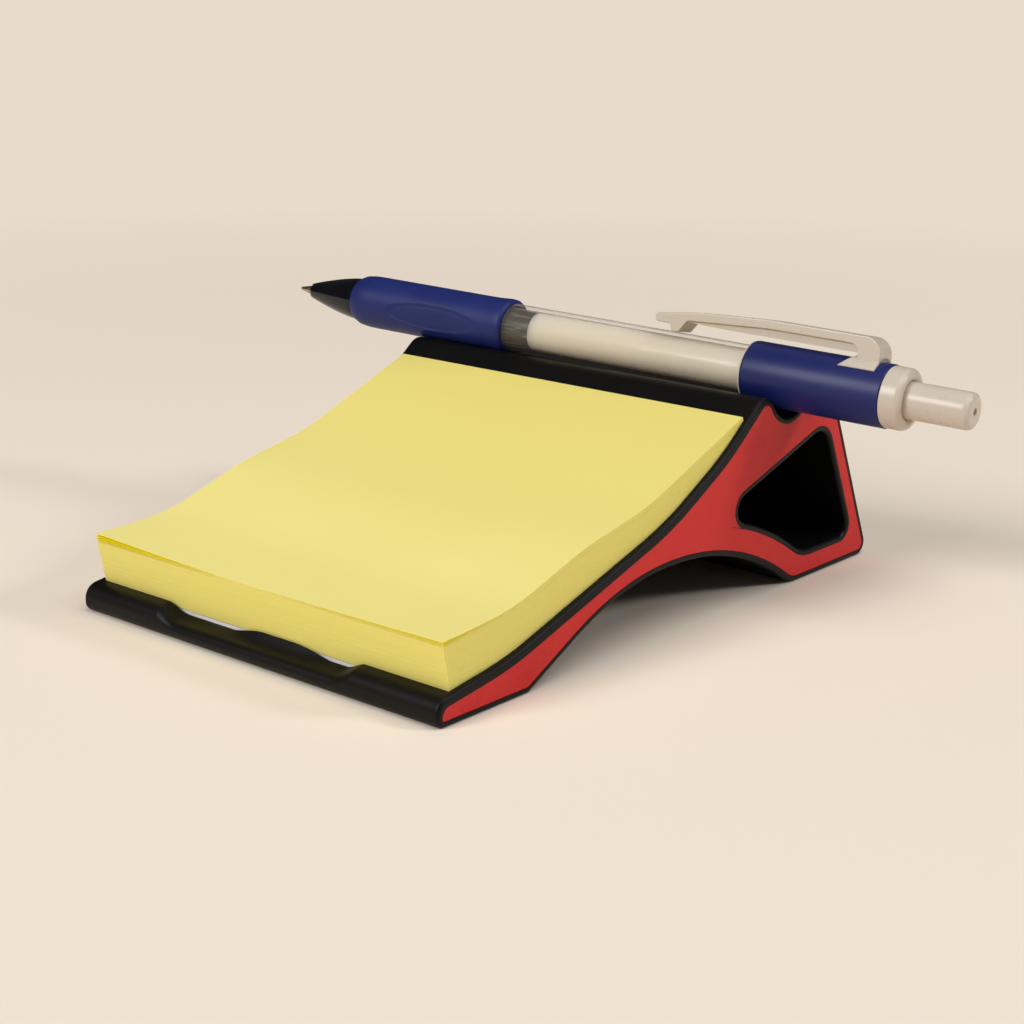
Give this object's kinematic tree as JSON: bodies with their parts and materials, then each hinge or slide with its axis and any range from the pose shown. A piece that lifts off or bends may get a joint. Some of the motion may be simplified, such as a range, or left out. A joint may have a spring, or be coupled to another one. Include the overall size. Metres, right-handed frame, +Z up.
{
  "type": "sticky note dispenser",
  "caption": "Sloping desk stand with side inlays that holds a pad of sticky notes in an S-curved tray, with a retractable ballpoint pen resting in its top groove.",
  "frame": {"origin": "middle of the front foot, on the surface the stand rests on", "axes": "+X to the right along the pen, +Y from the front edge of the tray to the back, +Z up"},
  "size_m": [0.1428, 0.1149, 0.0457],
  "materials": {
    "frame": "satin black",
    "inlay": "printed red, semi-gloss",
    "notes": "matte pale yellow",
    "card": "matte white",
    "pen_black": "glossy black",
    "pen_rubber": "soft dark blue, slightly glossy",
    "pen_clear": "clear",
    "pen_blue": "glossy dark blue",
    "pen_white": "glossy white",
    "pen_cam": "semi-gloss",
    "pen_tube": "translucent white",
    "pen_plug": "matte black",
    "pen_metal": "satin",
    "pen_steel": "bright wire"
  },
  "bodies": {
    "stand": {"frame": "frame", "inlay_left": "inlay", "inlay_right": "inlay", "note_pad": "notes", "backing_card": "card", "pen_nose_cone": "pen_black", "pen_grip": "pen_rubber", "pen_barrel": "pen_clear", "pen_upper_sleeve": "pen_blue", "pen_clip_cap": "pen_white", "pen_spring": "pen_steel"},
    "push_button": {"pen_push_button": "pen_white", "pen_cam": "pen_cam", "pen_ink_tube": "pen_tube", "pen_refill_plug": "pen_plug", "pen_tip": "pen_metal"}
  },
  "joints": [
    {"name": "button_press", "type": "slide", "parent": "stand", "child": "push_button", "axis": [-0.9969, -0.0722, 0.031], "range_m": [-0.0045, 0.0015], "stiffness_N_per_m": 60, "deforming": ["pen_spring"]}
  ]
}
